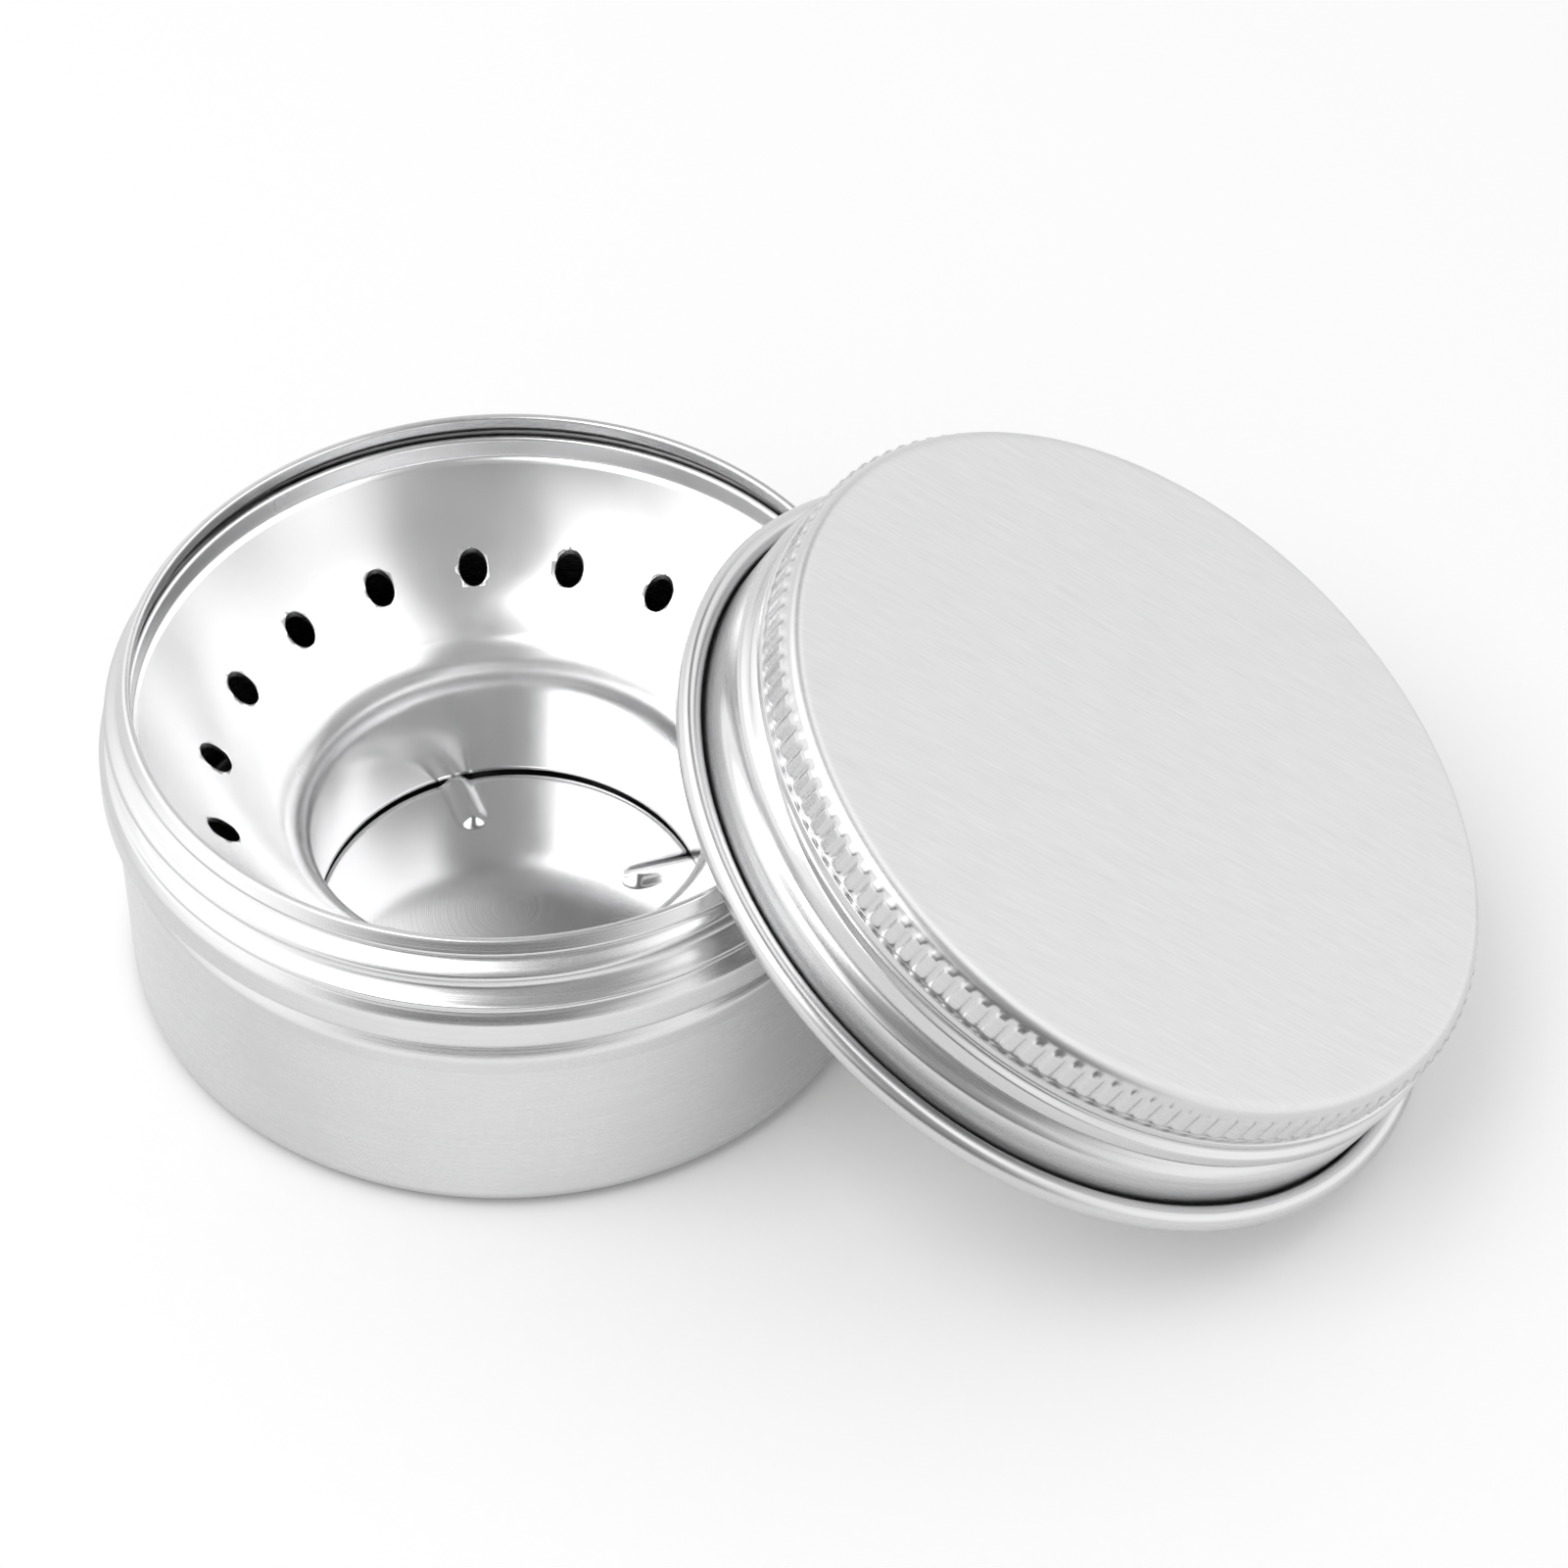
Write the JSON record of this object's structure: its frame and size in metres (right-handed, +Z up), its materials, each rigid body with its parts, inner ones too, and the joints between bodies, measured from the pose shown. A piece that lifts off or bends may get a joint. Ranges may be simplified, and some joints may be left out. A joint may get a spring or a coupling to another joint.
{
  "type": "alcohol stove",
  "caption": "Screw-top aluminium spirit stove: a tin, a pressed burner with a ring of jets in its neck, and a knurled lid leaning on the rim.",
  "frame": {"origin": "centre of the tin's flat base, on the surface that it stands on", "axes": "+Z up along the tin's axis, +X towards the leaning lid, whose axis lies in the XZ plane"},
  "size_m": [0.1198, 0.0752, 0.0466],
  "materials": {
    "satin_tin": "fine circumferential satin brushing, brighter on the rolled beads",
    "bright_burner": "as-pressed bright mill finish, softly reflecting",
    "satin_lid": "straight-brushed matte panel and satin brushed side",
    "foam_liner": "off-white closed-cell foam"
  },
  "bodies": {
    "tin": {"tin_body": "satin_tin", "burner_insert": "bright_burner"},
    "seal": {"lid_liner": "foam_liner"},
    "lid": {"lid_shell": "satin_lid"}
  },
  "joints": [
    {"name": "lid_lift", "type": "slide", "parent": "tin", "child": "seal", "axis": [0.4856, 0, 0.8742], "range_m": [0, 0.05]},
    {"name": "lid_turn", "type": "hinge", "parent": "seal", "child": "lid", "pos_m": [0.04832, 0, 0.0179], "axis": [0.4856, 0, 0.8742], "continuous": true}
  ]
}
